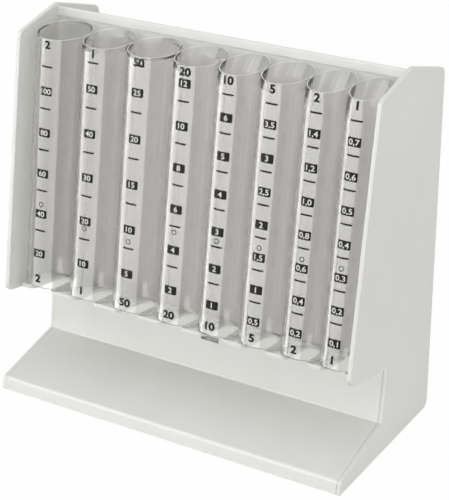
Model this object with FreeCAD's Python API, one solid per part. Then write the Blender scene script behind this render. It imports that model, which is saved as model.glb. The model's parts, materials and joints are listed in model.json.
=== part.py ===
import FreeCAD, Part
import math
import os

from FreeCAD import Vector

# A manual coin counter: eight clear tubes lean back in a bent sheet-metal stand, above a comb-shaped
# ledge that slides back to drop the counted coins onto a sloping tray.
# Millimetres. +Z is up, -Y is the front, +X is to the right as seen from the front. The origin is on
# the table, in the middle of the stand's width and depth.
# The tubes, the sheet behind them, the comb and the riser lean back together. They are drawn upright
# in a leaning frame (x across, y backwards, z along the tubes) and then turned into place. Its origin
# is on top of the comb, which is the zero of the tubes' scales, in the plane that the fronts of all
# the tubes touch.

# Stand
WIDTH = 208.0
DEPTH = 101.6
SIDE_SHEET = 2.5
LEAN = 8.8
LEAN_ORIGIN = Vector(0, -36.9, 59.05)
BACK_HEIGHT = 191.0
BACK_CORNER_RADIUS = 5.0
FOOT_FLANGE = 12.0
FOOT_FLANGE_SETBACK = 6.0

# Wings of the side panels, as (y, z) corners in the leaning frame
WING_LOW = (-5.6, -3.0)
WING_HIGH = (-3.4, 136.8)
WING_ROOT = -5.2
WING_CORNER_RADIUS = 4.0
APEX = (28.2, 149.2)
APEX_RADIUS = 2.0

# Bent sheet of the tray: front face, tray and riser
CHUTE_SHEET = 1.5
FRONT_FACE_HEIGHT = 7.1
FRONT_FACE_LEAN = 1.6
RISER_FRONT = 37.9
RISER_FOOT = -36.2
BED_REAR = 69.0
BED_HALF_WIDTH = 90.0
BED_RELIEF_DEPTH = 4.0
OUTER_BEND = 2.5
INNER_BEND = 1.0
RISER_SLOT_WIDTH = 11.0
RISER_SLOT_HEIGHT = 2.6
RISER_SLOT_TOP = -15.5

# Bracket behind the riser, with a tab in the riser's slot
BRACKET_SHEET = 2.0
BRACKET_HALF_WIDTH = 20.0
BRACKET_DEPTH = 21.0
TAB_LEFT = -2.5
TAB_WIDTH = 7.5
TAB_INSET = 0.5

# Sheet behind the tubes
TUBE_PANEL_SHEET = 1.0
TUBE_PANEL_FRONT = 29.5
TUBE_PANEL_LOW = 0.3
TUBE_PANEL_FLANGE = 9.0
TUBE_PANEL_BOTTOM_FLANGE = 8.0
SIDE_FLANGE_TOP = 138.0
LIP_LOW = 142.4
LIP_TOP = 147.3
LIP_RADIUS = 0.99

# Tubes, from left to right, each for coins of one diameter
COIN_DIAMETERS = [25.75, 23.25, 24.25, 22.25, 19.75, 21.25, 18.75, 16.25]
COIN_PLAY = 0.7
TUBE_WALL = 1.5
TUBE_SPACING = 0.05
ROW_LEFT_GAP = 0.25
TUBE_FOOT = 1.2

# Mouths of the tubes: one slanting plane, with a funnel that reaches back to the sheet behind
MOUTH_FRONT = 135.2
MOUTH_SLANT = 12.0
MOUTH_RIM = 0.5
FUNNEL_STEEPNESS = 1.15
FUNNEL_LEAST_DEPTH = 0.6

# Sliding comb under the tubes
COMB_THICKNESS = 2.0
COMB_SIDE_GAP = 1.5
COMB_FRONT = 3.1
COMB_REAR = 81.0
COMB_CORNER_RADIUS = 2.0
NOTCH_WIDTH = 10.0
NOTCH_END = 27.8
NOTCH_END_RADIUS = 4.95
NOTCH_LEAD_RADIUS = 0.8
COMB_TRAVEL = 25.0
SLIDE_GAP = 0.3

# Shoulder screws in the comb's slots
HEXAGON_SIDES = 6
SCREW_X = 60.0
SCREW_Y = 63.0
SHOULDER_RADIUS = 2.5
SHOULDER_PLAY = 0.1
SCREW_HEAD_RADIUS = 4.5
SCREW_HEAD_HEIGHT = 2.0
SCREW_RECESS_RADIUS = 1.5
SCREW_RECESS_DEPTH = 1.2
THREAD_RADIUS = 2.0
THREAD_PLAY = 0.1
THREAD_END = 0.8
NUT_ACROSS_FLATS = 7.0
NUT_HEIGHT = 3.2

# Channels that guide the comb's side edges
RUNNER_SHEET = 1.2
RUNNER_FLANGE = 9.0
RUNNER_REAR = 85.0

# Angle riveted along the comb's rear edge, to pull it by
BAR_SHEET = 1.5
BAR_HALF_WIDTH = 88.0
BAR_LEG = 11.5
BAR_HEIGHT = 14.0
RIVET_COUNT = 4
RIVET_PITCH = 48.0
RIVET_RADIUS = 1.5
RIVET_HEAD_RADIUS = 3.0
RIVET_HEAD_HEIGHT = 1.0
RIVET_TAIL_RADIUS = 2.4

# Edge strip on top of the angle
GRIP_WALL = 1.5
GRIP_HEIGHT = 7.0
GRIP_HALF_WIDTH = 86.0
GRIP_RADIUS = 1.2

# Channel between the side panels, low at the back
BRACE_SHEET = 2.0
BRACE_LOW = 6.0
BRACE_HEIGHT = 24.0
BRACE_FLANGE = 10.0
BRACE_SETBACK = 2.0

# How far a cutting shape reaches past the sheet it cuts, and the least length of an outline's edge
CUT_REACH = 1.0
LEAST_EDGE = 1e-6

# Sizes worked out from the driving dimensions
INNER_HALF = WIDTH / 2 - SIDE_SHEET
COMB_HALF_WIDTH = INNER_HALF - COMB_SIDE_GAP
FRONT = -DEPTH / 2
BACK = DEPTH / 2
FRONT_TOP = Vector(0, FRONT + FRONT_FACE_LEAN, FRONT_FACE_HEIGHT)
BED_TOP = -COMB_THICKNESS - SLIDE_GAP
RISER_BACK = RISER_FRONT + CHUTE_SHEET
RUNNER_FRONT = RISER_BACK + SLIDE_GAP
LEANING = FreeCAD.Placement(LEAN_ORIGIN, FreeCAD.Rotation(Vector(1, 0, 0), -LEAN))


def leaning_point(y, z):
    """Return the stand's point for a point (0, y, z) of the leaning frame."""
    return LEANING.multVec(Vector(0, y, z))


def placed(shape, placement):
    """Return a copy of a shape moved by a placement."""
    moved = shape.copy()
    moved.Placement = placement.multiply(moved.Placement)
    return moved


def lean(shape):
    """Return a shape drawn in the leaning frame, turned into place."""
    return placed(shape, LEANING)


def box(low, high):
    """Return the box between two opposite corners."""
    size = high.sub(low)
    return Part.makeBox(size.x, size.y, size.z, low)


def outline_face(corners):
    """Return the flat face inside a closed outline of (point, corner radius) pairs."""
    ends = []
    for index, (point, radius) in enumerate(corners):
        to_last = corners[index - 1][0].sub(point).normalize()
        to_next = corners[(index + 1) % len(corners)][0].sub(point).normalize()
        if radius == 0:
            ends.append((point, None, point))
            continue
        half_angle = to_last.getAngle(to_next) / 2
        along = radius / math.tan(half_angle)
        inward = to_last.add(to_next).normalize()
        middle = point.add(inward.multiply(radius / math.sin(half_angle) - radius))
        ends.append((point.add(to_last.multiply(along)), middle, point.add(to_next.multiply(along))))
    edges = []
    for index, (start, middle, end) in enumerate(ends):
        if middle is not None:
            edges.append(Part.Arc(start, middle, end).toShape())
        following = ends[(index + 1) % len(ends)][0]
        if end.distanceToPoint(following) > LEAST_EDGE:
            edges.append(Part.makeLine(end, following))
    return Part.Face(Part.Wire(edges))


def bent_strip(path, thickness):
    """Return the section of a bent sheet below a path of (point, bend radius) pairs in the YZ plane.

    The path runs along the sheet's face from front to back. The sheet lies on its right-hand side.
    """
    points = [point for point, _ in path]
    headings = [after.sub(before).normalize() for before, after in zip(points, points[1:])]
    other_side = []
    for index, (point, radius) in enumerate(path):
        before = headings[max(index - 1, 0)]
        after = headings[min(index, len(headings) - 1)]
        normal = Vector(0, before.z, -before.y).add(Vector(0, after.z, -after.y)).normalize()
        mitre = thickness / normal.dot(Vector(0, after.z, -after.y))
        turns_right = before.y * after.z - before.z * after.y < 0
        other_radius = 0
        if radius > 0:
            other_radius = radius - thickness if turns_right else radius + thickness
        other_side.append((point.add(normal.multiply(mitre)), other_radius))
    return outline_face(path + other_side[::-1])


def across(face, half_width):
    """Return a YZ section made into a piece that reaches the same way to the left and the right."""
    section = face.copy()
    section.translate(Vector(-half_width, 0, 0))
    return section.extrude(Vector(2 * half_width, 0, 0))


def side_panel(side):
    """Return the left (-1) or right (+1) side panel, with its inward foot flange."""
    riser_foot = leaning_point(RISER_FRONT, RISER_FOOT)
    corners = [
        (Vector(0, FRONT, 0), 0),
        (FRONT_TOP, OUTER_BEND),
        (riser_foot, INNER_BEND),
        (leaning_point(RISER_FRONT, WING_ROOT), INNER_BEND),
        (leaning_point(*WING_LOW), WING_CORNER_RADIUS),
        (leaning_point(*WING_HIGH), WING_CORNER_RADIUS),
        (leaning_point(*APEX), APEX_RADIUS),
        (Vector(0, BACK, BACK_HEIGHT), BACK_CORNER_RADIUS),
        (Vector(0, BACK, 0), BACK_CORNER_RADIUS),
    ]
    face = outline_face(corners)
    face.translate(Vector(side * INNER_HALF, 0, 0))
    panel = face.extrude(Vector(side * SIDE_SHEET, 0, 0))
    flange_edges = sorted([side * INNER_HALF, side * (INNER_HALF - FOOT_FLANGE)])
    flange = box(
        Vector(flange_edges[0], FRONT + FOOT_FLANGE_SETBACK, 0),
        Vector(flange_edges[1], BACK - FOOT_FLANGE_SETBACK, SIDE_SHEET),
    )
    return panel.fuse(flange).removeSplitter()


def chute_sheet():
    """Return the bent sheet of the front face, tray, riser and bed, between the side panels."""
    path = [
        (Vector(0, FRONT, 0), 0),
        (FRONT_TOP, OUTER_BEND),
        (leaning_point(RISER_FRONT, RISER_FOOT), INNER_BEND),
        (leaning_point(RISER_FRONT, BED_TOP), OUTER_BEND),
        (leaning_point(BED_REAR, BED_TOP), 0),
    ]
    sheet = across(bent_strip(path, CHUTE_SHEET), INNER_HALF)
    sheet = sheet.cut(box(Vector(-INNER_HALF, FRONT, -CHUTE_SHEET), Vector(INNER_HALF, BACK, 0)))
    relief_low = BED_TOP - BED_RELIEF_DEPTH
    for side in (-1, 1):
        edges = sorted([side * BED_HALF_WIDTH, side * WIDTH / 2])
        relief = box(
            Vector(edges[0], RISER_BACK, relief_low),
            Vector(edges[1], BED_REAR + CUT_REACH, BED_TOP + CUT_REACH),
        )
        sheet = sheet.cut(lean(relief))
        hole = Part.makeCylinder(
            THREAD_RADIUS + THREAD_PLAY,
            CHUTE_SHEET + 2 * CUT_REACH,
            Vector(side * SCREW_X, SCREW_Y, BED_TOP - CHUTE_SHEET - CUT_REACH),
        )
        sheet = sheet.cut(lean(hole))
    slot = box(
        Vector(-RISER_SLOT_WIDTH / 2, RISER_FRONT - CUT_REACH, RISER_SLOT_TOP - RISER_SLOT_HEIGHT),
        Vector(RISER_SLOT_WIDTH / 2, RISER_BACK + CUT_REACH, RISER_SLOT_TOP),
    )
    return sheet.cut(lean(slot))


def bed_stiffener():
    """Return the bracket that holds up the bed, with the tab that stands in the riser's slot."""
    bed_underside = BED_TOP - CHUTE_SHEET
    shelf_top = RISER_SLOT_TOP - (RISER_SLOT_HEIGHT - BRACKET_SHEET) / 2
    path = [
        (Vector(0, RISER_BACK, shelf_top), 0),
        (Vector(0, RISER_BACK + BRACKET_DEPTH, shelf_top), INNER_BEND),
        (Vector(0, RISER_BACK + BRACKET_DEPTH, bed_underside), 0),
    ]
    bracket = across(bent_strip(path, BRACKET_SHEET), BRACKET_HALF_WIDTH)
    tab = box(
        Vector(TAB_LEFT, RISER_FRONT + TAB_INSET, shelf_top - BRACKET_SHEET),
        Vector(TAB_LEFT + TAB_WIDTH, RISER_BACK, shelf_top),
    )
    return lean(bracket.fuse(tab).removeSplitter())


def tube_panel():
    """Return the sheet behind the tubes, with its top lip and its side and bottom flanges."""
    front = TUBE_PANEL_FRONT
    back = front + TUBE_PANEL_SHEET
    lip_front = front - TUBE_PANEL_SHEET
    section = outline_face([
        (Vector(0, front, TUBE_PANEL_LOW), 0),
        (Vector(0, front, LIP_LOW), 0),
        (Vector(0, lip_front, LIP_LOW), 0),
        (Vector(0, lip_front, LIP_TOP), LIP_RADIUS),
        (Vector(0, back, LIP_TOP), LIP_RADIUS),
        (Vector(0, back, TUBE_PANEL_LOW + TUBE_PANEL_SHEET), 0),
        (Vector(0, front + TUBE_PANEL_BOTTOM_FLANGE, TUBE_PANEL_LOW + TUBE_PANEL_SHEET), 0),
        (Vector(0, front + TUBE_PANEL_BOTTOM_FLANGE, TUBE_PANEL_LOW), 0),
    ])
    panel = across(section, INNER_HALF)
    for side in (-1, 1):
        edges = sorted([side * (INNER_HALF - TUBE_PANEL_SHEET), side * INNER_HALF])
        flange = box(
            Vector(edges[0], front, TUBE_PANEL_LOW),
            Vector(edges[1], front + TUBE_PANEL_FLANGE, SIDE_FLANGE_TOP),
        )
        panel = panel.fuse(flange)
    return lean(panel.removeSplitter())


def tube_layout():
    """Return (axis x, outer radius, bore radius) of each tube, left to right."""
    left = -INNER_HALF + ROW_LEFT_GAP
    layout = []
    for diameter in COIN_DIAMETERS:
        bore = (diameter + COIN_PLAY) / 2
        outer = bore + TUBE_WALL
        layout.append((left + outer, outer, bore))
        left += 2 * outer + TUBE_SPACING
    return layout


def slanting_ellipse(axis_x, half_width, front, back, drop):
    """Return an ellipse in the mouths' plane, or that far below it, between two distances y."""

    def on_plane(x, y):
        rise = y * math.tan(math.radians(MOUTH_SLANT))
        return Vector(x, y, MOUTH_FRONT + rise - drop)

    middle = (front + back) / 2
    ellipse = Part.Ellipse(
        on_plane(axis_x, front),
        on_plane(axis_x + half_width, middle),
        on_plane(axis_x, middle),
    )
    return Part.Wire([ellipse.toShape()])


def funnelled_rod(axis_x, axis_y, radius, lower, upper):
    """Return a round rod from the tube's foot that a funnel continues between two ellipses."""
    rod = Part.makeCylinder(radius, MOUTH_FRONT, Vector(axis_x, axis_y, TUBE_FOOT))
    lid = Part.Face(lower).extrude(Vector(0, 0, MOUTH_FRONT))
    funnel = Part.makeLoft([lower, upper], True, True)
    return rod.cut(lid).fuse(funnel)


def coin_tube(axis_x, outer, bore):
    """Return one clear tube: square foot, straight bore, and a funnel at the slanting mouth."""
    setback = TUBE_PANEL_FRONT - 2 * outer
    depth = max(FUNNEL_LEAST_DEPTH, FUNNEL_STEEPNESS * setback)
    wall_foot = slanting_ellipse(axis_x, outer, 0, 2 * outer, depth)
    wall_rim = slanting_ellipse(axis_x, outer, 0, TUBE_PANEL_FRONT, 0)
    bore_top = slanting_ellipse(axis_x, bore, outer - bore, outer + bore, depth)
    bore_rim = slanting_ellipse(axis_x, outer - MOUTH_RIM, MOUTH_RIM, TUBE_PANEL_FRONT - MOUTH_RIM, 0)
    body = funnelled_rod(axis_x, outer, outer, wall_foot, wall_rim)
    hollow = funnelled_rod(axis_x, outer, bore, bore_top, bore_rim)
    return lean(body.cut(hollow).removeSplitter())


def release_comb():
    """Return the sliding ledge: a flat plate with a notch for each tube and two guide slots."""
    corners = [(Vector(-COMB_HALF_WIDTH, COMB_FRONT, 0), COMB_CORNER_RADIUS)]
    for axis_x, _, _ in tube_layout():
        left = axis_x - NOTCH_WIDTH / 2
        right = axis_x + NOTCH_WIDTH / 2
        corners.append((Vector(left, COMB_FRONT, 0), NOTCH_LEAD_RADIUS))
        corners.append((Vector(left, NOTCH_END, 0), NOTCH_END_RADIUS))
        corners.append((Vector(right, NOTCH_END, 0), NOTCH_END_RADIUS))
        corners.append((Vector(right, COMB_FRONT, 0), NOTCH_LEAD_RADIUS))
    corners.append((Vector(COMB_HALF_WIDTH, COMB_FRONT, 0), COMB_CORNER_RADIUS))
    corners.append((Vector(COMB_HALF_WIDTH, COMB_REAR, 0), COMB_CORNER_RADIUS))
    corners.append((Vector(-COMB_HALF_WIDTH, COMB_REAR, 0), COMB_CORNER_RADIUS))
    comb = outline_face(corners).extrude(Vector(0, 0, -COMB_THICKNESS))
    radius = SHOULDER_RADIUS + SHOULDER_PLAY
    for side in (-1, 1):
        rear_end = Vector(side * SCREW_X, SCREW_Y, -COMB_THICKNESS)
        front_end = rear_end.sub(Vector(0, COMB_TRAVEL, 0))
        comb = comb.cut(Part.makeCylinder(radius, COMB_THICKNESS, front_end))
        comb = comb.cut(Part.makeCylinder(radius, COMB_THICKNESS, rear_end))
        middle = box(
            front_end.sub(Vector(radius, 0, 0)),
            rear_end.add(Vector(radius, 0, COMB_THICKNESS)),
        )
        comb = comb.cut(middle)
    for place in rivet_places():
        underside = place.sub(Vector(0, 0, COMB_THICKNESS))
        comb = comb.cut(Part.makeCylinder(RIVET_RADIUS, COMB_THICKNESS, underside))
    return lean(comb)


def rivet_places():
    """Return the middles of the pull angle's rivets, on the comb's top."""
    first = -RIVET_PITCH * (RIVET_COUNT - 1) / 2
    y = COMB_REAR - BAR_LEG / 2
    return [Vector(first + RIVET_PITCH * number, y, 0) for number in range(RIVET_COUNT)]


def pull_bar():
    """Return the angle along the comb's rear edge, standing up at the back."""
    path = [
        (Vector(0, COMB_REAR - BAR_LEG, BAR_SHEET), 0),
        (Vector(0, COMB_REAR - BAR_SHEET, BAR_SHEET), INNER_BEND),
        (Vector(0, COMB_REAR - BAR_SHEET, BAR_HEIGHT), 0),
    ]
    bar = across(bent_strip(path, BAR_SHEET), BAR_HALF_WIDTH)
    for place in rivet_places():
        bar = bar.cut(Part.makeCylinder(RIVET_RADIUS, BAR_SHEET, place))
    return lean(bar)


def bar_rivet(place):
    """Return one rivet, with a domed head on the angle and a low one under the comb."""
    grip = COMB_THICKNESS + BAR_SHEET
    underside = place.sub(Vector(0, 0, COMB_THICKNESS))
    head_seat = place.add(Vector(0, 0, BAR_SHEET))
    shank = Part.makeCylinder(RIVET_RADIUS, grip, underside)
    sphere_radius = (RIVET_HEAD_RADIUS ** 2 + RIVET_HEAD_HEIGHT ** 2) / (2 * RIVET_HEAD_HEIGHT)
    rise = Vector(0, 0, RIVET_HEAD_HEIGHT - sphere_radius)
    dome = Part.makeSphere(sphere_radius, head_seat.add(rise))
    dome = dome.common(Part.makeCylinder(RIVET_HEAD_RADIUS + CUT_REACH, RIVET_HEAD_HEIGHT, head_seat))
    low_head = Part.makeCylinder(
        RIVET_TAIL_RADIUS,
        RIVET_HEAD_HEIGHT,
        underside.sub(Vector(0, 0, RIVET_HEAD_HEIGHT)),
    )
    return lean(shank.fuse([dome, low_head]).removeSplitter())


def pull_grip():
    """Return the plastic edge strip pushed onto the top of the pull angle."""
    front = COMB_REAR - BAR_SHEET
    low = BAR_HEIGHT - GRIP_HEIGHT + GRIP_WALL
    top = BAR_HEIGHT + GRIP_WALL
    section = outline_face([
        (Vector(0, front - GRIP_WALL, low), 0),
        (Vector(0, front - GRIP_WALL, top), GRIP_RADIUS),
        (Vector(0, COMB_REAR + GRIP_WALL, top), GRIP_RADIUS),
        (Vector(0, COMB_REAR + GRIP_WALL, low), 0),
        (Vector(0, COMB_REAR, low), 0),
        (Vector(0, COMB_REAR, BAR_HEIGHT), 0),
        (Vector(0, front, BAR_HEIGHT), 0),
        (Vector(0, front, low), 0),
    ])
    return lean(across(section, GRIP_HALF_WIDTH))


def hexagon(middle, corner_radius):
    """Return a flat hexagonal face, given its middle and the distance to its corners."""
    turns = [2 * math.pi * corner / HEXAGON_SIDES for corner in range(HEXAGON_SIDES + 1)]
    corners = [Vector(math.cos(turn), math.sin(turn), 0).multiply(corner_radius) for turn in turns]
    return Part.Face(Part.makePolygon([middle.add(corner) for corner in corners]))


def guide_screw(side):
    """Return one shoulder screw: driver recess, head, shoulder in the comb's slot and threaded end."""
    seat = Vector(side * SCREW_X, SCREW_Y, BED_TOP)
    head_low = Vector(seat.x, seat.y, SLIDE_GAP)
    head_top = head_low.add(Vector(0, 0, SCREW_HEAD_HEIGHT))
    thread_length = CHUTE_SHEET + NUT_HEIGHT + THREAD_END
    shoulder = Part.makeCylinder(SHOULDER_RADIUS, head_low.z - seat.z, seat)
    head = Part.makeCylinder(SCREW_HEAD_RADIUS, SCREW_HEAD_HEIGHT, head_low)
    thread = Part.makeCylinder(THREAD_RADIUS, thread_length, seat.sub(Vector(0, 0, thread_length)))
    socket = hexagon(head_top, SCREW_RECESS_RADIUS).extrude(Vector(0, 0, -SCREW_RECESS_DEPTH))
    return lean(shoulder.fuse([head, thread]).removeSplitter().cut(socket))


def guide_nut(side):
    """Return the hexagonal nut of one shoulder screw, under the bed."""
    top = Vector(side * SCREW_X, SCREW_Y, BED_TOP - CHUTE_SHEET)
    nut = hexagon(top, NUT_ACROSS_FLATS / math.sqrt(3)).extrude(Vector(0, 0, -NUT_HEIGHT))
    hole = Part.makeCylinder(THREAD_RADIUS, NUT_HEIGHT, top.sub(Vector(0, 0, NUT_HEIGHT)))
    return lean(nut.cut(hole))


def runner(side):
    """Return the channel on one side panel that the comb's edge slides in."""
    wall = side * INNER_HALF
    web = side * (INNER_HALF - RUNNER_SHEET)
    edge = side * (INNER_HALF - RUNNER_FLANGE)
    low = BED_TOP - RUNNER_SHEET
    top = SLIDE_GAP + RUNNER_SHEET
    section = outline_face([
        (Vector(wall, RUNNER_FRONT, low), 0),
        (Vector(edge, RUNNER_FRONT, low), 0),
        (Vector(edge, RUNNER_FRONT, BED_TOP), 0),
        (Vector(web, RUNNER_FRONT, BED_TOP), 0),
        (Vector(web, RUNNER_FRONT, SLIDE_GAP), 0),
        (Vector(edge, RUNNER_FRONT, SLIDE_GAP), 0),
        (Vector(edge, RUNNER_FRONT, top), 0),
        (Vector(wall, RUNNER_FRONT, top), 0),
    ])
    return lean(section.extrude(Vector(0, RUNNER_REAR - RUNNER_FRONT, 0)))


def rear_brace():
    """Return the channel between the side panels, low at the back, open to the front."""
    back = BACK - BRACE_SETBACK
    top = BRACE_LOW + BRACE_HEIGHT
    path = [
        (Vector(0, back - BRACE_FLANGE, top), 0),
        (Vector(0, back, top), OUTER_BEND),
        (Vector(0, back, BRACE_LOW), OUTER_BEND),
        (Vector(0, back - BRACE_FLANGE, BRACE_LOW), 0),
    ]
    return across(bent_strip(path, BRACE_SHEET), INNER_HALF)


def build():
    """Return every piece by its name."""
    pieces = {
        "left_side_panel": side_panel(-1),
        "right_side_panel": side_panel(1),
        "chute_sheet": chute_sheet(),
        "bed_stiffener": bed_stiffener(),
        "tube_panel": tube_panel(),
        "rear_brace": rear_brace(),
        "left_runner": runner(-1),
        "right_runner": runner(1),
        "release_comb": release_comb(),
        "pull_bar": pull_bar(),
        "bar_rivets": Part.makeCompound([bar_rivet(place) for place in rivet_places()]),
        "pull_grip": pull_grip(),
        "guide_screws": Part.makeCompound([guide_screw(-1), guide_screw(1)]),
        "guide_nuts": Part.makeCompound([guide_nut(-1), guide_nut(1)]),
    }
    for number, tube in enumerate(tube_layout(), start=1):
        pieces[f"coin_tube_{number}"] = coin_tube(*tube)
    return pieces


def main():
    os.makedirs("parts", exist_ok=True)
    for name, shape in build().items():
        shape.exportStep(f"parts/{name}.step")
        bounds = shape.BoundBox
        print(
            f"{name}: {len(shape.Solids)} solid, {shape.Volume:.0f} mm3, "
            f"x {bounds.XMin:.1f} to {bounds.XMax:.1f}, y {bounds.YMin:.1f} to {bounds.YMax:.1f}, "
            f"z {bounds.ZMin:.1f} to {bounds.ZMax:.1f}, valid {shape.isValid()}"
        )


main()
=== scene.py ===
"""Looks of a manual coin counter: clear graduated tubes in a powder-coated sheet-metal stand.

Sizes are in millimetres and are turned into metres when a mesh is made. +Z is up, -Y is the front and +X
is to the right as seen from the front. The tubes, the sheet behind them and the comb lean back together, so
they are worked out in a leaning frame: x across, y backwards from the plane that the tubes' fronts touch, z
along the tubes from the comb's top.
"""

import json
import logging
import math
from dataclasses import dataclass
from enum import Enum

import bpy
import numpy as np
from mathutils import Matrix, Vector
from mathutils.geometry import tessellate_polygon

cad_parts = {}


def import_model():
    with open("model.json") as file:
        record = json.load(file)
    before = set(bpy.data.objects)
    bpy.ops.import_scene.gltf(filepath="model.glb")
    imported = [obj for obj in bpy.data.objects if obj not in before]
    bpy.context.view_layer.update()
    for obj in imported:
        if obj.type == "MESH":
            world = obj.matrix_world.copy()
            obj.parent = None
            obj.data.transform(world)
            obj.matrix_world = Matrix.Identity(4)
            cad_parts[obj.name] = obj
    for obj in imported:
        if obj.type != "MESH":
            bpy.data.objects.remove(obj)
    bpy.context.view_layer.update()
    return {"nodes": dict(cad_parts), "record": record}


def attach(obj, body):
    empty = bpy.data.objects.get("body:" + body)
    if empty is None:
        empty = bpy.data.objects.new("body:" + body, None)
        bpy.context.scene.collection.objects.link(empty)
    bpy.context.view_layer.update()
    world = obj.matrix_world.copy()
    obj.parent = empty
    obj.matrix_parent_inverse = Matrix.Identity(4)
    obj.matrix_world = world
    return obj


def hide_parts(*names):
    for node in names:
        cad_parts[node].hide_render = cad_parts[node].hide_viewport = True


LOG = logging.getLogger("coin_counter")
MM = 0.001
CREASE = math.radians(35.0)
ARC_STEPS = 8
ACRYLIC_IOR = 1.49

Settings = dict[str, object]
Tree = bpy.types.NodeTree
Socket = bpy.types.NodeSocket
Triple = tuple[float, float, float]
Pair = tuple[float, float]
Floats = tuple[float, ...]
Outline = tuple[np.ndarray, np.ndarray]
Shape = tuple[np.ndarray, list[list[int]], np.ndarray | None]


class Slot(Enum):
    """Names of the record's material slots for new pieces."""

    COAT = "powder_coated_steel"
    ACRYLIC = "clear_acrylic"
    PLASTIC = "black_plastic"


class Body(Enum):
    """The bodies that pieces ride on."""

    STAND = "stand"
    COMB = "comb"


def linear(hex_colour: str) -> tuple[float, float, float, float]:
    """Turn an sRGB hex colour into linear light.

    Args:
        hex_colour: six hex digits after a hash sign.

    Returns:
        Linear red, green, blue and an alpha of one.
    """
    channels = np.array([int(hex_colour[i : i + 2], 16) for i in (1, 3, 5)]) / 255
    low, high = channels / 12.92, ((channels + 0.055) / 1.055) ** 2.4
    red, green, blue = np.where(channels <= 0.04045, low, high)
    return float(red), float(green), float(blue), 1.0


def add_node(tree: Tree, kind: str, inputs: Settings) -> bpy.types.Node:
    """Add one node, set its properties and inputs, and link the inputs that another node feeds.

    Args:
        tree: the node tree.
        kind: the node's Blender type, less its common start.
        inputs: properties by name, and values or output sockets by the input's name or number.

    Returns:
        The new node.
    """
    node = tree.nodes.new(f"ShaderNode{kind}")
    for name, value in inputs.items():
        if name in node.bl_rna.properties:
            setattr(node, name, value)
        elif isinstance(value, Socket):
            tree.links.new(value, node.inputs[int(name) if name.isdigit() else name])
        else:
            node.inputs[int(name) if name.isdigit() else name].default_value = value
    return node


def cleared(owner: bpy.types.Material | bpy.types.World) -> Tree:
    """Give a material or world an empty node tree.

    Args:
        owner: the material or world.

    Returns:
        Its node tree.
    """
    owner.use_nodes = True
    owner.node_tree.nodes.clear()
    return owner.node_tree


@dataclass(frozen=True)
class Pattern:
    """A noise pattern in a material, which drives its colour, gloss and bump."""

    tree: Tree
    value: Socket

    def spread(self, limits: Pair) -> Socket:
        """Return the pattern as a value between two limits."""
        inputs = {"Value": self.value, "To Min": limits[0], "To Max": limits[1]}
        return add_node(self.tree, "MapRange", inputs).outputs["Result"]

    def tint(self, deep: str, light: str, stops: Pair) -> Socket:
        """Turn the pattern into a colour.

        Args:
            deep: colour at the first stop.
            light: colour at the second stop.
            stops: the pattern's values at both.

        Returns:
            The colour.
        """
        node = add_node(self.tree, "ValToRGB", {"Fac": self.value})
        for element, stop, colour in zip(node.color_ramp.elements, stops, (deep, light)):
            element.position = stop
            element.color = linear(colour)
        return node.outputs["Color"]

    def relief(self, strength: float, depth_mm: float) -> Socket:
        """Return the normal of the pattern as a bump."""
        inputs = {"Height": self.value, "Strength": strength, "Distance": depth_mm * MM}
        return add_node(self.tree, "Bump", inputs).outputs["Normal"]


def own_place(tree: Tree) -> Socket:
    """Return the object's own coordinates in a material."""
    return add_node(tree, "TexCoord", {}).outputs["Object"]


def grain(tree: Tree, place: Socket, size_mm: float, detail: float) -> Pattern:
    """Return a noise pattern at a place, with grains of a size and some finer layers."""
    inputs = {"Vector": place, "Scale": 1 / (size_mm * MM), "Detail": detail}
    return Pattern(tree, add_node(tree, "TexNoise", inputs).outputs["Fac"])


@dataclass(frozen=True)
class Finish:
    """A surface finish that becomes one Blender material."""

    name: str

    def material(self) -> bpy.types.Material:
        """Make the finish's material at its first use.

        Returns:
            The material.
        """
        found = bpy.data.materials.get(self.name)
        if found is None:
            found = bpy.data.materials.new(self.name)
            tree = cleared(found)
            shader = add_node(tree, "BsdfPrincipled", self.inputs(tree))
            add_node(tree, "OutputMaterial", {"Surface": shader.outputs["BSDF"]})
        return found

    def inputs(self, tree: Tree) -> Settings:
        """Return the shader's inputs that give the finish its look."""
        raise NotImplementedError


@dataclass(frozen=True)
class Grained(Finish):
    """A finish whose gloss follows a fine grain, and whose colour follows that grain or wider clouds.

    The relief is a bump's strength, and its depth in millimetres.
    """

    light: str
    deep: str
    grain_mm: float = 0.5
    detail: float = 2.0
    roughness: Pair = (0.4, 0.6)
    trait: tuple[str, float] = ("IOR", 1.5)
    relief: Pair | None = None
    cloud_mm: float | None = None
    cloud_detail: float = 3.0
    stops: Pair = (0.0, 1.0)

    def inputs(self, tree: Tree) -> Settings:
        """Build the colour, the gloss and, where it has one, the bump.

        Args:
            tree: the material's nodes.

        Returns:
            The shader's inputs.
        """
        place = own_place(tree)
        fine = grain(tree, place, self.grain_mm, self.detail)
        tone = fine if self.cloud_mm is None else grain(tree, place, self.cloud_mm, self.cloud_detail)
        colour = tone.tint(self.deep, self.light, self.stops)
        bump = {} if self.relief is None else {"Normal": fine.relief(*self.relief)}
        name, value = self.trait
        return {"Base Color": colour, "Roughness": fine.spread(self.roughness), name: value} | bump


@dataclass(frozen=True)
class PowderCoat(Grained):
    """Polyester powder baked onto sheet steel.

    The melted grains leave a fine orange peel that breaks up reflections into a soft satin sheen, and the
    coat is a little thicker in places, which the eye sees as a faint change of tone.
    """

    grain_mm: float = 0.9
    roughness: Pair = (0.42, 0.56)
    relief: Pair | None = (0.25, 0.03)
    cloud_mm: float | None = 70.0
    stops: Pair = (0.3, 0.7)


@dataclass(frozen=True)
class ScreenInk(Grained):
    """Screen-printed ink: an even film whose fine mottle comes from the mesh that it was pressed through."""

    grain_mm: float = 0.35
    roughness: Pair = (0.45, 0.6)
    trait: tuple[str, float] = ("Specular IOR Level", 0.08)


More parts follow.
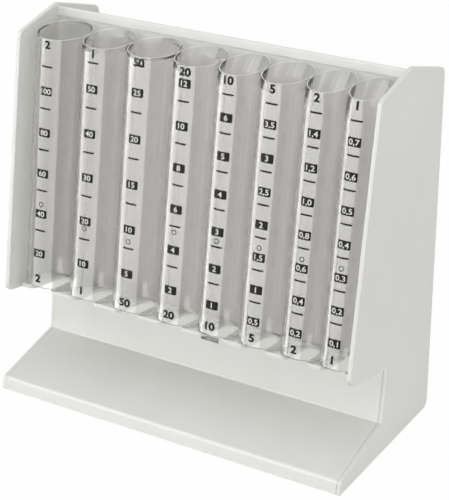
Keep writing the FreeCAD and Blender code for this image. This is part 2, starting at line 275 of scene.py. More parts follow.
@dataclass(frozen=True)
class ZincPlate(Grained):
    """Bright zinc plating on turned steel: a bluish metal with fine grain and uneven gloss."""

    detail: float = 4.0
    roughness: Pair = (0.22, 0.42)
    trait: tuple[str, float] = ("Metallic", 1.0)


@dataclass(frozen=True)
class MouldedPlastic(Grained):
    """Soft PVC edge strip: matt black with a fine moulded grain that dulls its highlights."""

    grain_mm: float = 0.6
    detail: float = 3.0
    roughness: Pair = (0.5, 0.7)
    trait: tuple[str, float] = ("IOR", 1.53)
    relief: Pair | None = (0.3, 0.05)


@dataclass(frozen=True)
class ClearAcrylic(Finish):
    """Extruded clear acrylic tube.

    The die leaves faint straight draw lines along the tube, which make long streaks in its highlights. The
    lines are drawn wider apart than the real ones, so that they show.
    """

    lean: float
    colour: str = "#faf9f9"
    line_mm: float = 0.8
    length_mm: float = 90.0
    roughness: Pair = (0.08, 0.14)
    relief: Pair = (0.05, 0.01)

    def inputs(self, tree: Tree) -> Settings:
        """Build full transmission, with the draw lines as a slight bump.

        Args:
            tree: the material's nodes.

        Returns:
            The shader's inputs.
        """
        drawn = {"Rotation": (self.lean, 0.0, 0.0), "Scale": (1.0, 1.0, self.line_mm / self.length_mm)}
        stretch = add_node(tree, "Mapping", drawn | {"Vector": own_place(tree)})
        lines = grain(tree, stretch.outputs["Vector"], self.line_mm, detail=1.0)
        return {
            "Base Color": linear(self.colour),
            "Roughness": lines.spread(self.roughness),
            "IOR": ACRYLIC_IOR,
            "Transmission Weight": 1.0,
            "Normal": lines.relief(*self.relief),
        }


@dataclass(frozen=True)
class CutAcrylic(Finish):
    """The sawn rim of an acrylic tube, which looks white, as the saw's fine scratches scatter the light."""

    colour: str = "#fafaf8"
    scratch_mm: float = 0.15
    roughness: Pair = (0.25, 0.5)
    share: float = 0.3

    def inputs(self, tree: Tree) -> Settings:
        """Return the inputs of a partly clear shader, with scratches of uneven gloss."""
        gloss = grain(tree, own_place(tree), self.scratch_mm, detail=2.0).spread(self.roughness)
        return {
            "Base Color": linear(self.colour),
            "Roughness": gloss,
            "IOR": ACRYLIC_IOR,
            "Transmission Weight": self.share,
        }


@dataclass(frozen=True)
class LeaningFrame:
    """The frame that leans back with the tubes."""

    origin: Triple = (0.0, -36.9, 59.05)
    lean: float = math.radians(8.8)

    def turn(self, vectors: np.ndarray) -> np.ndarray:
        """Turn directions about X, so that z tips back by the lean."""
        cosine, sine = math.cos(self.lean), math.sin(self.lean)
        return vectors @ np.array([[1, 0, 0], [0, cosine, -sine], [0, sine, cosine]])

    def place(self, points: np.ndarray) -> np.ndarray:
        """Turn points and move them to the frame's origin."""
        return self.turn(points) + np.array(self.origin)


LEANING = LeaningFrame()


@dataclass(frozen=True)
class Finishes:
    """Every finish of the coin counter."""

    coat: PowderCoat = PowderCoat("powder_coated_steel_light_grey", "#dfe0dc", "#d9dad6")
    inner: PowderCoat = PowderCoat("powder_coated_steel_inside", "#d6d7d3", "#cdceca")
    # Painted shade: the bracket seen through the riser's slot is coloured dark grey so that the slot looks
    # shaded; its real coat is the light grey of the inside pieces.
    slot_shade: PowderCoat = PowderCoat("thinly_coated_steel_inside", "#8e8f8c", "#828380")
    acrylic: ClearAcrylic = ClearAcrylic("extruded_clear_acrylic", LEANING.lean)
    sawn: CutAcrylic = CutAcrylic("sawn_acrylic_rim")
    black: ScreenInk = ScreenInk("black_screen_ink", "#181818", "#101010")
    white: ScreenInk = ScreenInk("white_screen_ink", "#ebebe8", "#f4f4f2")
    zinc: ZincPlate = ZincPlate("zinc_plated_steel", "#c9ccd1", "#aeb2b8")
    strip: MouldedPlastic = MouldedPlastic("black_edge_strip", "#262626", "#191919")


FINISHES = Finishes()


def unit(vectors: np.ndarray) -> np.ndarray:
    """Return vectors, one to a row, at the length of one."""
    return vectors / np.linalg.norm(vectors, axis=1, keepdims=True)


def grid_faces(rows: int, columns: int, closed: bool) -> np.ndarray:
    """Return the quads of a grid of rows by columns, whose columns run round a loop.

    Args:
        rows: number of rows of points.
        columns: number of points round each row.
        closed: whether the last row joins the first one.

    Returns:
        Vertex numbers, four for each face.
    """
    row = np.arange(rows if closed else rows - 1)[:, None]
    column = np.arange(columns)[None, :]
    here, over = row * columns, (row + 1) % rows * columns
    along = (column + 1) % columns
    corners = [here + column, here + along, over + along, over + column]
    return np.stack(np.broadcast_arrays(*corners), axis=-1).reshape(-1, 4)


def rounded_outline(corners: np.ndarray, radii: np.ndarray) -> Outline:
    """Round the corners of a closed outline.

    Each corner becomes an arc that touches both of its edges: its centre is on the corner's bisector, at the
    radius over the sine of half the corner's angle, and its points turn evenly from one edge's normal to the
    next one's.

    Args:
        corners: points of the outline, two columns.
        radii: a radius above zero for each corner.

    Returns:
        The points anticlockwise, and the outward normal at each.
    """
    following = np.roll(corners, -1, axis=0)
    area = np.sum(corners[:, 0] * following[:, 1] - corners[:, 1] * following[:, 0])
    if area < 0:
        corners, radii = corners[::-1], radii[::-1]
    back = unit(np.roll(corners, 1, axis=0) - corners)
    ahead = unit(np.roll(corners, -1, axis=0) - corners)
    half = np.arccos(np.clip(np.sum(back * ahead, axis=1), -1, 1)) / 2
    centre = corners + unit(back + ahead) * (radii / np.sin(half))[:, None]
    reach = (radii / np.tan(half))[:, None]
    first = (corners + back * reach - centre) / radii[:, None]
    last = (corners + ahead * reach - centre) / radii[:, None]
    sweep = (np.pi - 2 * half)[:, None, None]
    share = np.linspace(0, 1, ARC_STEPS + 1)[None, :, None]
    spoke = np.sin((1 - share) * sweep) * first[:, None] + np.sin(share * sweep) * last[:, None]
    spoke = spoke / np.sin(sweep)
    outward = np.sign(ahead[:, 0] * back[:, 1] - ahead[:, 1] * back[:, 0])[:, None, None]
    points = centre[:, None] + spoke * radii[:, None, None]
    return points.reshape(-1, 2), (spoke * outward).reshape(-1, 2)


def rectangle(low: Pair, high: Pair, radius: float) -> Outline:
    """Return the outline of a rectangle between two opposite corners, rounded by a radius."""
    corners = np.array([low, (high[0], low[1]), high, (low[0], high[1])])
    return rounded_outline(corners, np.full(4, radius))


def strip_outline(path: np.ndarray, bends: np.ndarray, thickness: float, edge: float) -> Outline:
    """Return the outline of a bent sheet's section, with the sheet to the right of a path.

    The other face runs parallel to the path: each of its corners is on the mean of the two normals there, at
    the thickness over the cosine of half the bend.

    Args:
        path: corners of the sheet's one face, two columns.
        bends: bend radius of that face at each corner; the two ends have none.
        thickness: the sheet's thickness.
        edge: radius at the corners of the sheet's two ends.

    Returns:
        The section's points anticlockwise, and the outward normal at each.
    """
    right = unit(np.diff(path, axis=0))[:, ::-1] * np.array([1, -1])
    before, after = np.vstack([right[:1], right]), np.vstack([right, right[-1:]])
    mean = unit(before + after)
    other = path + mean * (thickness / np.sum(mean * after, axis=1))[:, None]
    turn = before[:, 0] * after[:, 1] - before[:, 1] * after[:, 0]
    other_radii = np.where(turn < 0, bends - thickness, bends + thickness)
    other_radii[[0, -1]] = edge
    radii = np.maximum(np.concatenate([bends, other_radii[::-1]]), edge)
    return rounded_outline(np.vstack([path, other[::-1]]), radii)


def prism(outline: Outline, low: float, high: float, rim: float, steps: int = 4) -> Shape:
    """Carry a closed outline along a straight axis, with rounded rims at both ends.

    A ring at the angle f of a rim is the outline moved inwards by the rim's radius times one less cos f, at
    the distance of the radius times one less sin f from the end, and its normal turns with f from sideways
    to the axis.

    Args:
        outline: anticlockwise points, and the outward normal at each.
        low: start along the axis.
        high: end along the axis.
        rim: radius of the rims.
        steps: steps of each rim.

    Returns:
        Points (outline's two columns, then the axis), faces and normals.
    """
    points, normals = outline
    angle = np.linspace(0, np.pi / 2, steps + 1)
    angles = np.concatenate([angle[::-1], angle])[:, None, None]
    inset = rim * (1 - np.sin(angle))
    along = np.concatenate([low + inset[::-1], high - inset])[:, None, None]
    facing = np.repeat([-1.0, 1.0], steps + 1)[:, None, None]
    rows, count = len(along), len(points)
    column = np.ones((1, count, 1))
    section = points - normals * (rim * (1 - np.cos(angles)))
    grid = np.concatenate([section, along * column], axis=2)
    turned = np.concatenate([normals * np.cos(angles), facing * np.sin(angles) * column], axis=2)
    faces = grid_faces(rows, count, False).tolist()
    faces.append(np.arange(count)[::-1].tolist())
    faces.append(((rows - 1) * count + np.arange(count)).tolist())
    return grid.reshape(-1, 3), faces, turned.reshape(-1, 3)


def joined(shapes: list[Shape]) -> Shape:
    """Join several shapes into one.

    Args:
        shapes: the shapes, all with normals or all without.

    Returns:
        One shape, with the vertex numbers carried on.
    """
    points, parts, facings = zip(*shapes)
    starts = np.cumsum([0] + [len(part) for part in points])
    faces = [[number + int(start) for number in face] for start, part in zip(starts, parts) for face in part]
    return np.vstack(points), faces, None if facings[0] is None else np.vstack(facings)


def pierced(outlines: list[Outline], low: float, high: float, rim: float) -> Shape:
    """Carry an outline and the holes in it along a straight axis, with rounded rims.

    Each loop becomes a prism without its ends, with a hole's points and normals the other way round, and
    triangles between the loops fill both ends.

    Args:
        outlines: the outer loop and then the holes, each with anticlockwise points and outward normals.
        low: start along the axis.
        high: end along the axis.
        rim: radius of the rims.

    Returns:
        Points (outline's two columns, then the axis), faces and normals.
    """
    loops = outlines[:1] + [(points[::-1], -normals[::-1]) for points, normals in outlines[1:]]
    walls = [prism(loop, low, high, rim) for loop in loops]
    points, faces, normals = joined([(part, sides[:-2], facing) for part, sides, facing in walls])
    starts = np.cumsum([0] + [len(part) for part, _, _ in walls])
    for end, sign in ((-2, -1), (-1, 1)):
        rings = [np.array(sides[end]) + start for (_, sides, _), start in zip(walls, starts)]
        corners = [[Vector(points[number]) for number in ring] for ring in rings]
        fill = np.concatenate(rings)[np.array(tessellate_polygon(corners))]
        flat = points[fill][:, :, :2]
        side, other = flat[:, 1] - flat[:, 0], flat[:, 2] - flat[:, 0]
        area = side[:, 0] * other[:, 1] - side[:, 1] * other[:, 0]
        faces += np.where((area * sign > 0)[:, None], fill, fill[:, ::-1]).tolist()
    return points, faces, normals


def added(name: str, data: bpy.types.ID) -> bpy.types.Object:
    """Put a new object into the scene.

    Args:
        name: the object's name.
        data: its mesh, light, camera or letters.

    Returns:
        The object.
    """
    thing = bpy.data.objects.new(name, data)
    bpy.context.scene.collection.objects.link(thing)
    return thing


def make_piece(name: str, shape: Shape, finish: Finish, body: Body, node: str = "") -> None:
    """Make one piece of the object from a shape in millimetres, and let it ride on its body.

    Args:
        name: the piece's name.
        shape: points, faces, and normals or nothing; without normals, sharp bends stay creased.
        finish: the piece's finish.
        body: the body that it moves with.
        node: the plain node that it stands for, if any.
    """
    points, faces, normals = shape
    mesh = bpy.data.meshes.new(name)
    mesh.from_pydata((points * MM).tolist(), [], faces)
    mesh.shade_smooth()
    if normals is None:
        mesh.set_sharp_from_angle(angle=CREASE)
    else:
        mesh.normals_split_custom_set_from_vertices(normals.tolist())
    mesh.materials.append(finish.material())
    piece = added(name, mesh)
    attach(piece, body.value)
    if node:
        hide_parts(node)
    LOG.info("%s: %d faces", name, len(faces))


def standing(shape: Shape) -> Shape:
    """Turn a YZ section carried along X, given as (y, z, x), into (x, y, z)."""
    points, faces, normals = shape
    return points[:, [2, 0, 1]], faces, normals[:, [2, 0, 1]]


def leaned(shape: Shape) -> Shape:
    """Move a shape from the leaning frame into place."""
    points, faces, normals = shape
    return LEANING.place(points), faces, None if normals is None else LEANING.turn(normals)


@dataclass
class Stand:
    """The bent sheets of the stand: two side panels, the tray's sheet, and the sheet behind the tubes."""

    half_width: float = 104.0
    inner_half: float = 101.5
    half_depth: float = 50.8
    back_height: float = 191.0
    front_face: Pair = (1.6, 7.1)
    wing_low: Pair = (-5.6, -3.0)
    wing_high: Pair = (-3.4, 136.8)
    wing_root: float = -5.2
    apex: Pair = (28.2, 149.2)
    riser: Pair = (37.9, -36.2)
    bed: Pair = (69.0, -2.3)
    bed_half_width: float = 90.0
    side_sheet: float = 2.5
    chute_sheet: float = 1.5
    slot_half_width: float = 5.5
    slot_rows: Pair = (-18.1, -15.5)
    foot_flange: float = 12.0
    foot_setback: float = 6.0
    panel_front: float = 29.5
    panel_sheet: float = 1.0
    panel_low: float = 0.3
    panel_flange: float = 9.0
    panel_bottom: float = 8.0
    flange_top: float = 138.0
    lip: Pair = (142.4, 147.3)
    side_radii: Floats = (0.6, 2.5, 1.0, 1.0, 4.0, 4.0, 2.0, 5.0, 5.0)
    panel_radii: Floats = (0.3, 0.3, 0.4, 0.99, 0.99, 0.3, 0.3, 0.3)
    flange_radius: float = 0.3
    chute_bend: float = 2.5
    riser_bend: float = 1.0
    rim: float = 0.5
    fine_rim: float = 0.15
    sharp_rim: float = 0.02

    def upright(self, y: float, z: float) -> list[float]:
        """Return the stand's (y, z) for a (y, z) of the leaning frame."""
        return LEANING.place(np.array([[0.0, y, z]]))[0, 1:].tolist()

    def side_panel(self, side: int) -> Shape:
        """Build one side panel: its outline carried through the sheet's thickness, and the foot flange.

        Args:
            side: -1 for the left panel and 1 for the right one.

        Returns:
            The panel.
        """
        back, (lean_in, height) = self.half_depth, self.front_face
        root = (self.riser[0], self.wing_root)
        leaning = (self.riser, root, self.wing_low, self.wing_high, self.apex)
        corners = [[-back, 0.0], [lean_in - back, height]]
        corners += [self.upright(*place) for place in leaning]
        corners += [[back, self.back_height], [back, 0.0]]
        outline = rounded_outline(np.array(corners), np.array(self.side_radii))
        sheet = prism(outline, *sorted([side * self.inner_half, side * self.half_width]), self.rim)
        reach = self.half_depth - self.foot_setback
        foot = rectangle((-reach, 0.0), (reach, self.side_sheet), self.flange_radius)
        inner = sorted([side * self.inner_half, side * (self.inner_half - self.foot_flange)])
        return standing(joined([sheet, prism(foot, *inner, self.fine_rim)]))

    def chute(self) -> Shape:
        """Build the tray's sheet in five stretches across, with the slot left open in the middle one.

        Returns:
            The sheet.
        """
        lean_in, height = self.front_face
        lift = self.chute_sheet * lean_in / math.hypot(lean_in, height)
        foot = [-self.half_depth + lean_in * lift / height, lift]
        front = [
            (foot, 0.0),
            ([lean_in - self.half_depth, height], self.chute_bend),
            (self.upright(*self.riser), self.riser_bend),
        ]
        depth, bed_z = self.riser[0], self.bed[1]
        bed = [(self.upright(depth, bed_z), self.chute_bend), (self.upright(*self.bed), 0.0)]
        slot_low, slot_top = [(self.upright(depth, row), 0.0) for row in self.slot_rows]
        brow = [(self.upright(depth, bed_z - self.chute_sheet), 0.0)]
        outer, middle, slot = self.inner_half, self.bed_half_width, self.slot_half_width
        stretches = (
            (front + brow, -outer, -middle),
            (front + bed, -middle, -slot),
            (front + [slot_low], -slot, slot),
            ([slot_top] + bed, -slot, slot),
            (front + bed, slot, middle),
            (front + brow, middle, outer),
        )
        parts = []
        for path, low, high in stretches:
            points, bends = (np.array(column) for column in zip(*path))
            outline = strip_outline(points, bends, self.chute_sheet, self.fine_rim)
            parts.append(prism(outline, low, high, self.sharp_rim, steps=1))
        return standing(joined(parts))

    def tube_panel(self) -> Shape:
        """Build the sheet behind the tubes: a section with lip and bottom flange, and two side flanges.

        Returns:
            The sheet.
        """
        front, back = self.panel_front, self.panel_front + self.panel_sheet
        bottom, base = front + self.panel_bottom, self.panel_low + self.panel_sheet
        lip, (fold, top) = front - self.panel_sheet, self.lip
        edge = [[front, self.panel_low], [front, fold], [lip, fold], [lip, top]]
        corners = [*edge, [back, top], [back, base], [bottom, base], [bottom, self.panel_low]]
        outline = rounded_outline(np.array(corners), np.array(self.panel_radii))
        parts = [prism(outline, -self.inner_half, self.inner_half, self.sharp_rim, steps=1)]
        reach = front + self.panel_flange
        flange = rectangle((back, self.panel_low), (reach, self.flange_top), self.flange_radius)
        for side in (-1, 1):
            edges = sorted([side * (self.inner_half - self.panel_sheet), side * self.inner_half])
            parts.append(prism(flange, *edges, self.fine_rim))
        return leaned(standing(joined(parts)))

    def build(self) -> None:
        """Make the stand's sheets in place of their plain nodes."""
        sheets = (
            ("left_side_panel_sheet", self.side_panel(-1), "left_side_panel"),
            ("right_side_panel_sheet", self.side_panel(1), "right_side_panel"),
            ("chute_bent_sheet", self.chute(), "chute_sheet"),
            ("tube_panel_sheet", self.tube_panel(), "tube_panel"),
        )
        for name, shape, node in sheets:
            make_piece(name, shape, FINISHES.coat, Body.STAND, node)


@dataclass
class CoinTube:
    """One clear tube with a funnel at its slanting mouth."""

    number: int
    axis_x: float
    bore: float
    wall: float = 1.5
    foot: float = 1.2
    mouth_front: float = 135.2
    slant: float = math.tan(math.radians(12.0))
    panel_front: float = 29.5
    rim: float = 0.5
    steepness: float = 1.15
    least_depth: float = 0.6
    ease: float = 0.2
    small_ease: float = 0.06
    foot_ring: float = 1.0
    funnel_ring: float = 0.8
    slope_shares: Floats = (0.0, 0.06, 0.94, 1.0)
    rim_rings: tuple[int, int] = (9, 13)
    rim_lift: float = 0.02
    around: int = 144

    @property
    def outer(self) -> float:
        """The tube's outer radius."""
        return self.bore + self.wall

    def slope(self, low: Floats, high: Floats) -> np.ndarray:
        """Return a ring, two rings near the ends of the way to another, and that other one."""
        share = np.array(self.slope_shares)[:, None]
        return (1 - share) * np.array(low) + share * np.array(high)

    def rings(self) -> np.ndarray:
        """Work out the tube's rings, from the foot up the outside, over the rim and down the inside.

        Each ring is an ellipse whose height rises with y. The rows hold half width, back, inset, height and
        rise, and the inset draws a ring in on all sides. Rings on both sides of an edge keep it crisp.

        Returns:
            Half width across x, front y, back y, height at y = 0, and rise for each millimetre of y.
        """
        outer, ease, small, foot, top = self.outer, self.ease, self.small_ease, self.foot, self.mouth_front
        funnel = top - max(self.least_depth, self.steepness * (self.panel_front - 2 * outer))
        rise = self.slant
        wall, bore, mouth = (outer, 2 * outer), (self.bore, outer + self.bore), (outer, self.panel_front)
        rows = np.vstack([
            (*wall, ease, foot, 0.0),
            (*wall, small, foot + small, 0.0),
            (*wall, 0.0, foot + ease, 0.0),
            (*wall, 0.0, foot + self.foot_ring, 0.0),
            (*wall, 0.0, funnel - self.funnel_ring, rise),
            self.slope((*wall, 0.0, funnel, rise), (*mouth, 0.0, top - ease, rise)),
            (*mouth, small, top - small, rise),
            (*mouth, ease, top, rise),
            (*mouth, self.rim - ease / 2, top, rise),
            self.slope((*mouth, self.rim, top - ease / 2, rise), (*bore, 0.0, funnel, rise)),
            (*bore, 0.0, funnel - self.funnel_ring, rise),
            (*bore, 0.0, foot + self.foot_ring, 0.0),
            (*bore, 0.0, foot + ease, 0.0),
            (*bore, -ease, foot, 0.0),
        ])
        half, back, inset, height, rises = rows.T
        return np.stack([half - inset, outer - half + inset, back - inset, height, rises], axis=1)

    def shape(self, rings: np.ndarray, closed: bool) -> Shape:
        """Return a grid over some rings: round each ring by an angle, and from ring to ring.

        A point at the angle a is at x = axis + half width times cos a, y = middle + half depth times sin a,
        and at the ring's height plus its rise times y.

        Args:
            rings: the rings, as rows of five numbers.
            closed: whether the last ring joins the first one.

        Returns:
            The grid, in place.
        """
        half, front, back, height, rise = rings.T[:, :, None]
        angle = np.linspace(0, 2 * np.pi, self.around, endpoint=False)[None]
        x = self.axis_x + half * np.cos(angle)
        y = (front + back) / 2 + (back - front) / 2 * np.sin(angle)
        points = np.stack([x, y, height + rise * y], axis=-1).reshape(-1, 3)
        return leaned((points, grid_faces(len(half), self.around, closed).tolist(), None))

    def build(self) -> None:
        """Make the tube in place of its plain node, and the sawn face of its rim."""
        name, rings = f"coin_tube_{self.number}", self.rings()
        clear = self.shape(rings, True)
        make_piece(f"{name}_clear", clear, FINISHES.acrylic, Body.STAND, name)
        rim = rings[slice(*self.rim_rings)] + np.array([0.0, 0.0, 0.0, self.rim_lift, 0.0])
        make_piece(f"{name}_rim", self.shape(rim, False), FINISHES.sawn, Body.STAND)


@dataclass
class TubeScale:
    """The scale printed on one tube's front: marks, numbered boxes, a ring and the tube's number.

    A box or mark has a width, a height and a corner radius, the ring a radius and a line's width, and
    letters have a height, a distance from the wall and a thickening.
    """

    number: int
    axis_x: float
    outer: float
    coin_thickness: float
    first_label: float
    label_count: int
    word: str
    drop: float
    ring_height: float
    circle: Pair = (1.4, 0.45)
    circle_steps: int = 40
    box: Triple = (7.0, 4.5, 0.5)
    box_below: float = 1.81
    tick: Triple = (6.5, 0.9, 0.2)
    tick_limit: float = 131.0
    bar_steps: int = 32
    digits: Triple = (2.9, 0.12, 0.016)
    letters: Triple = (4.3, 0.15, 0.04)
    word_rows: Pair = (132.5, 6.3)
    letter_width: float = 1.15
    letter_dip: float = 0.03
    letter_steps: int = 4
    film: float = 0.03
    coins_per_label: int = 10
    decimal_below: float = 0.5

    def wrap(self, flat: np.ndarray, lift: float) -> np.ndarray:
        """Roll points across and up onto the tube, at a lift: the way across becomes an arc of the wall."""
        angle, radius = flat[:, 0] / self.outer, self.outer + lift
        return np.stack(
            [self.axis_x + radius * np.sin(angle), self.outer - radius * np.cos(angle), flat[:, 1]], axis=1
        )

    def bar(self, middle: float, width: float, height: float, corner: float) -> Shape:
        """Build a rounded bar of ink, as a grid of rows across it rolled onto the tube.

        Along its width, its half height is the full one less what the corner's circle takes away.

        Args:
            middle: height of its middle on the tube.
            width: its width.
            height: its height.
            corner: radius of its corners.

        Returns:
            The bar.
        """
        across = width / 2 * np.sin(np.linspace(-np.pi / 2, np.pi / 2, self.bar_steps + 1))
        inside = np.clip((np.abs(across) - width / 2 + corner) / corner, 0, 1)
        reach = height / 2 - corner * (1 - np.sqrt(1 - inside**2))
        flat = np.stack([np.tile(across, 2), middle + np.concatenate([-reach, reach])], axis=1)
        low = np.arange(self.bar_steps)
        high = low + self.bar_steps + 1
        faces = np.stack([low, low + 1, high + 1, high], axis=1)
        return self.wrap(flat, self.film), faces.tolist(), None

    def ring(self) -> Shape:
        """Build the thin printed ring: two circles of points rolled onto the tube, joined by a band.

        Returns:
            The ring.
        """
        radius, line = self.circle
        angle = np.linspace(0, 2 * np.pi, self.circle_steps, endpoint=False)
        spoke = np.stack([np.cos(angle), np.sin(angle)], axis=1)
        flat = np.vstack([spoke * (radius - line), spoke * radius])
        faces = grid_faces(2, self.circle_steps, False)[:, ::-1]
        return self.wrap(flat + np.array([0.0, self.ring_height]), self.film), faces.tolist(), None

    def text(self, words: str, middle: float, height: float, lift: float, weight: float) -> Shape:
        """Build a word of filled letters, scaled to a height, centred and rolled onto the tube.

        Args:
            words: the digits.
            middle: height of the word's middle on the tube.
            height: height of its digits.
            lift: distance from the tube's wall.
            weight: how much the letters are thickened.

        Returns:
            The letters.
        """
        curve = bpy.data.curves.new("digits", "FONT")
        curve.body = words
        curve.align_x = "CENTER"
        curve.offset = weight
        curve.resolution_u = self.letter_steps
        curve.fill_mode = "FRONT"
        carrier = added("digits", curve)
        ready = carrier.evaluated_get(bpy.context.evaluated_depsgraph_get())
        mesh = bpy.data.meshes.new_from_object(ready)
        places = np.zeros(len(mesh.vertices) * 3)
        mesh.vertices.foreach_get("co", places)
        flat = places.reshape(-1, 3)[:, :2]
        faces = [list(face.vertices) for face in mesh.polygons]
        bpy.data.objects.remove(carrier)
        bpy.data.curves.remove(curve)
        bpy.data.meshes.remove(mesh)
        low, high = flat.min(axis=0), flat.max(axis=0)
        tall = high[1] - max(low[1], -self.letter_dip)
        flat = (flat - np.array([(low[0] + high[0]) / 2, high[1] - tall / 2])) * (height / tall)
        flat[:, 0] *= self.letter_width
        return self.wrap(flat + np.array([0.0, middle]), lift), faces, None

    def label(self, step: int) -> str:
        """Return the number in one box, with a decimal comma where the scale or the number needs one."""
        value = self.first_label * step
        return f"{value:.{int(self.first_label < self.decimal_below or value % 1 > 0)}f}".replace(".", ",")

    def build(self) -> None:
        """Make the black print and the white numbers."""
        spacing = self.coins_per_label * self.coin_thickness
        steps = range(1, self.label_count + 1)
        boxes = [step * spacing - self.box_below - self.drop for step in steps]
        ticks = [(step + 0.5) * spacing - self.drop for step in steps]
        black = [self.bar(row, *self.box) for row in boxes]
        black += [self.bar(row, *self.tick) for row in ticks if row < self.tick_limit]
        black.append(self.ring())
        black += [self.text(self.word, row, *self.letters) for row in self.word_rows]
        white = [self.text(self.label(step), row, *self.digits) for step, row in zip(steps, boxes)]
        stem = f"tube_{self.number}_scale"
        make_piece(f"{stem}_black", leaned(joined(black)), FINISHES.black, Body.STAND)
        make_piece(f"{stem}_numbers", leaned(joined(white)), FINISHES.white, Body.STAND)


@dataclass
class ReleaseComb:
    """The sliding ledge under the tubes, with its pull angle and grip."""

    axes: list[float]
    half_width: float = 100.0
    front: float = 3.1
    rear: float = 81.0
    thickness: float = 2.0
    rim: float = 0.3
    corner_radius: float = 2.0
    notch_width: float = 10.0
    notch_end: float = 27.8
    notch_radius: float = 4.95
    tooth_radius: float = 3.5
    slot_x: float = 60.0
    slot_rear: float = 63.0
    slot_radius: float = 2.6
    slot_round: float = 0.98
    travel: float = 25.0
    bar_half_width: float = 88.0
    bar_leg: float = 11.5
    bar_height: float = 14.0
    bar_sheet: float = 1.5
    bar_bend: float = 1.0
    bar_edge: float = 0.2
    bar_rim: float = 0.1
    grip_half_width: float = 86.0
    grip_height: float = 7.0
    grip_wall: float = 1.5
    grip_radii: Floats = (0.5, 1.2, 1.2, 0.5, 0.5, 0.1, 0.1, 0.5)
    grip_rim: float = 0.4

    def plate(self) -> Shape:
        """Build the plate: an outline with a round-ended notch for each tube, and the two guide slots.

        Returns:
            The plate.
        """
        half = self.notch_width / 2
        across = np.array(self.axes)[:, None] + np.array([[-half, -half, half, half]])
        along = np.array([[self.front, self.notch_end, self.notch_end, self.front]])
        notches = np.stack(np.broadcast_arrays(across, along), axis=-1).reshape(-1, 2)
        side, front, rear = self.half_width, self.front, self.rear
        ends = np.array([[side, front], [side, rear], [-side, rear], [-side, front]])
        notch = [self.tooth_radius, self.notch_radius, self.notch_radius, self.tooth_radius]
        radii = np.concatenate([np.tile(notch, len(self.axes)), np.full(4, self.corner_radius)])
        loops = [rounded_outline(np.vstack([notches, ends]), radii)]
        half, low, high = self.slot_radius, self.slot_rear - self.travel, self.slot_rear
        for x in (-self.slot_x, self.slot_x):
            loops.append(rectangle((x - half, low - half), (x + half, high + half), half * self.slot_round))
        return leaned(pierced(loops, -self.thickness, 0.0, self.rim))

    def bar(self) -> Shape:
        """Build the pull angle: an L section carried along X.

        Returns:
            The angle.
        """
        sheet, inner = self.bar_sheet, self.rear - self.bar_sheet
        path = np.array([[self.rear - self.bar_leg, sheet], [inner, sheet], [inner, self.bar_height]])
        outline = strip_outline(path, np.array([0.0, self.bar_bend, 0.0]), sheet, self.bar_edge)
        return leaned(standing(prism(outline, -self.bar_half_width, self.bar_half_width, self.bar_rim)))

    def grip(self) -> Shape:
        """Build the edge strip: a U section carried along X.

        Returns:
            The strip.
        """
        front, back, inside = self.rear - self.bar_sheet, self.rear, self.bar_height
        low, top = inside - self.grip_height + self.grip_wall, inside + self.grip_wall
        left, right = front - self.grip_wall, back + self.grip_wall
        outer = [[left, low], [left, top], [right, top], [right, low]]
        corners = [*outer, [back, low], [back, inside], [front, inside], [front, low]]
        outline = rounded_outline(np.array(corners), np.array(self.grip_radii))
        return leaned(standing(prism(outline, -self.grip_half_width, self.grip_half_width, self.grip_rim)))

    def build(self) -> None:
        """Make the comb's pieces in place of their plain nodes."""
        coat, strip, body = FINISHES.coat, FINISHES.strip, Body.COMB
        make_piece("release_comb_plate", self.plate(), coat, body, "release_comb")
        make_piece("pull_bar_angle", self.bar(), coat, body, "pull_bar")
        make_piece("pull_grip_strip", self.grip(), strip, body, "pull_grip")


@dataclass
class TubeBank:
    """The eight tubes and their scales, placed by the record's bores."""

    mounts: list[dict]
    thicknesses: Floats = (2.20, 2.33, 2.38, 2.14, 1.93, 1.67, 1.67, 1.67)
    first_labels: Floats = (20, 10, 5, 2, 1, 0.5, 0.2, 0.1)
    label_counts: tuple[int, ...] = (5, 5, 5, 6, 6, 7, 7, 7)
    words: tuple[str, ...] = ("2", "1", "50", "20", "10", "5", "2", "1")
    drops: Floats = (0.0, 0.45, 0.0, 0.0, 0.0, 0.0, 0.0, 0.0)
    ring_heights: Floats = (47.3, 40.3, 39.3, 50.4, 51.3, 53.2, 52.9, 53.1)

    def build(self) -> list[float]:
        """Make every tube and its scale.

        Returns:
            Where each tube's axis is across.
        """
        axes = []
        bores = [mount for mount in self.mounts if mount["kind"] == "bore"]
        labels = zip(self.first_labels, self.label_counts, self.words)
        scales = zip(bores, self.thicknesses, labels, self.drops, self.ring_heights)
        for number, (mount, thickness, label, drop, ring) in enumerate(scales, start=1):
            tube = CoinTube(number, mount["pos_m"][0] / MM, mount["dims"]["r_mm"])
            tube.build()
            axes.append(tube.axis_x)
            TubeScale(number, tube.axis_x, tube.outer, thickness, *label, drop, ring).build()
        return axes


@dataclass
class HiddenHardware:
    """The nodes inside the stand that keep their own shapes and get a finish; the bracket behind the slot
    gets a dark grey that paints the slot's shade.
    """

    nodes: dict[str, bpy.types.Object]
    coated: tuple[str, ...] = ("rear_brace", "left_runner", "right_runner")
    # painted shade: the bracket behind the riser's slot is made dark so that the slot looks shaded
    shade_painted: tuple[str, ...] = ("bed_stiffener",)
    plated: tuple[str, ...] = ("guide_screws", "guide_nuts", "bar_rivets")

    def dress(self) -> None:
        """Put a coat or plating on the nodes, and a dark grey of painted shade on the bracket behind the
        slot.
        """
        finishes = (FINISHES.inner, FINISHES.slot_shade, FINISHES.zinc)
        for names, finish in zip((self.coated, self.shade_painted, self.plated), finishes):
            for name in names:
                data = self.nodes[name].data
                data.materials.clear()
                data.materials.append(finish.material())
                LOG.info("%s: dressed", name)


